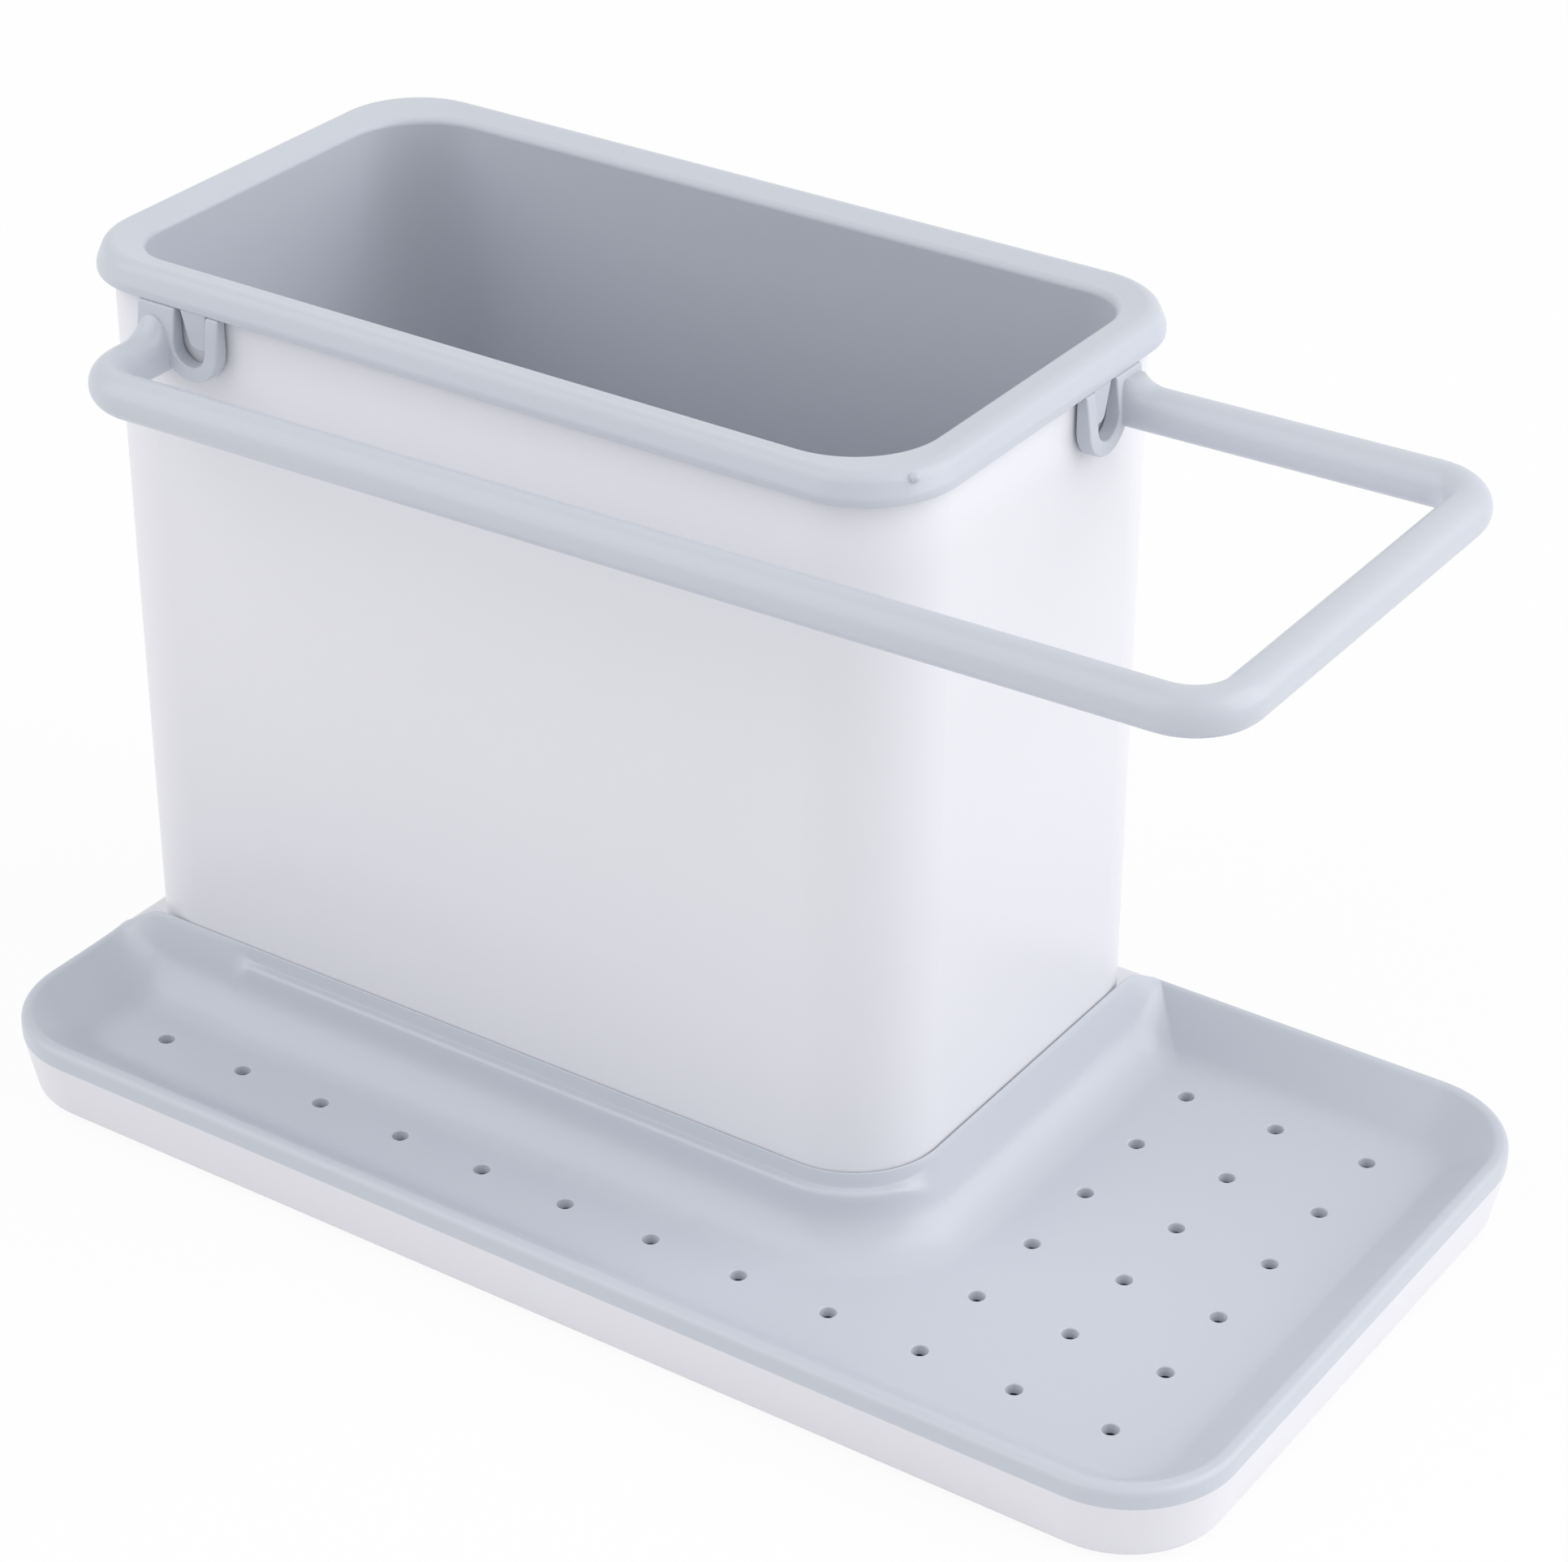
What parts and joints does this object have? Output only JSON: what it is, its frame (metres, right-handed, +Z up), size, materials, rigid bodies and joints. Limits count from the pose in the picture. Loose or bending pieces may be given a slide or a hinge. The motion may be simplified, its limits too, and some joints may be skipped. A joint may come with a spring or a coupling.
{
  "type": "kitchen sink caddy",
  "caption": "Free-standing sink caddy: a tower with a lift-out brush bin, an L-shaped drain tray over a catch pan, and a clip-on towel rail",
  "frame": {"origin": "middle of the footprint, on the surface that the caddy stands on", "axes": "+X to the right along the long side, away from the tower; +Y to the back; +Z up"},
  "size_m": [0.225, 0.12, 0.139],
  "materials": {
    "white_plastic": "smooth moulded white plastic with a soft sheen",
    "grey_plastic": "smooth moulded light blue-grey plastic with a soft sheen",
    "foot_rubber": "soft matt grey rubber"
  },
  "bodies": {
    "casing": {"casing": "white_plastic", "foot_pad_front_left": "foot_rubber", "foot_pad_front_right": "foot_rubber", "foot_pad_back_left": "foot_rubber", "foot_pad_back_right": "foot_rubber"},
    "tray": {"drain_tray": "grey_plastic"},
    "bin": {"brush_bin": "grey_plastic"},
    "rail": {"towel_rail": "grey_plastic"}
  },
  "joints": [
    {"name": "bin_lift", "type": "slide", "parent": "casing", "child": "bin", "axis": [0, 0, 1], "range_m": [0, 0.14]},
    {"name": "tray_lift", "type": "slide", "parent": "casing", "child": "tray", "axis": [0, 0, 1], "range_m": [0, 0.06]},
    {"name": "rail_unclip", "type": "slide", "parent": "bin", "child": "rail", "axis": [0, 0, -1], "range_m": [0, 0.03]}
  ]
}
